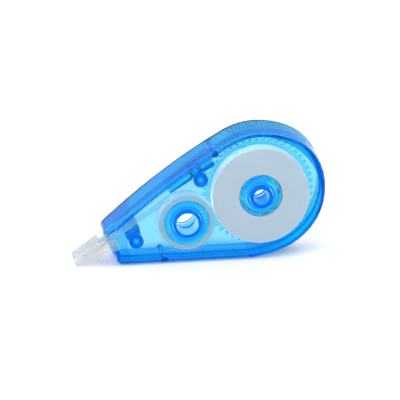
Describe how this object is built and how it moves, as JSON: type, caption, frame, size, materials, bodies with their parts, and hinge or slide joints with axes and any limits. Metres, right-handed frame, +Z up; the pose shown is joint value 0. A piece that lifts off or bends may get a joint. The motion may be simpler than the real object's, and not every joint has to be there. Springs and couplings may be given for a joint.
{
  "type": "correction tape",
  "caption": "Clear blue correction tape dispenser with geared supply and take-up reels, a clear applicator tip and a pull-off cap.",
  "frame": {"origin": "centre of the bounding box's base, on the surface the lower edge stands on", "axes": "-X towards the tip, +Z up, -Y out of the front cover; the reels turn about Y"},
  "size_m": [0.0814, 0.0156, 0.0417],
  "materials": {
    "case": "clear tinted gloss",
    "gear": "clear tinted gloss",
    "clip": "satin",
    "washer": "matt",
    "tape": "matt",
    "liner": "satin",
    "clear": "clear gloss"
  },
  "bodies": {
    "case": {"front_cover": "case", "rear_cover": "case", "applicator_head": "clear", "tape_strand": "tape", "liner_strand": "liner"},
    "drive": {"supply_gear": "gear", "spool_clip": "clip", "friction_washer": "washer"},
    "supply_reel": {"supply_spool": "gear", "tape_roll": "tape", "tape_outer_turn": "tape"},
    "take_up_reel": {"take_up_gear": "gear", "take_up_flange": "clear", "liner_roll": "liner", "liner_outer_turn": "liner"},
    "cap": {"tip_cap": "clear"}
  },
  "joints": [
    {"name": "supply_spin", "type": "hinge", "parent": "case", "child": "drive", "pos_m": [0.01973, 0, 0.02047], "axis": [0, -1, 0], "continuous": true},
    {"name": "take_up_spin", "type": "hinge", "parent": "case", "child": "take_up_reel", "pos_m": [-0.00406, 0, 0.01287], "axis": [0, -1, 0], "continuous": true},
    {"name": "spool_slip", "type": "hinge", "parent": "drive", "child": "supply_reel", "pos_m": [0.01973, 0, 0.02047], "axis": [0, -1, 0], "continuous": true},
    {"name": "cap_pull", "type": "slide", "parent": "case", "child": "cap", "axis": [-0.9311, 0, -0.3649], "range_m": [0, 0.007]}
  ],
  "couplings": [
    {"joint": "take_up_spin", "follows": "supply_spin", "ratio": -2.2273}
  ]
}
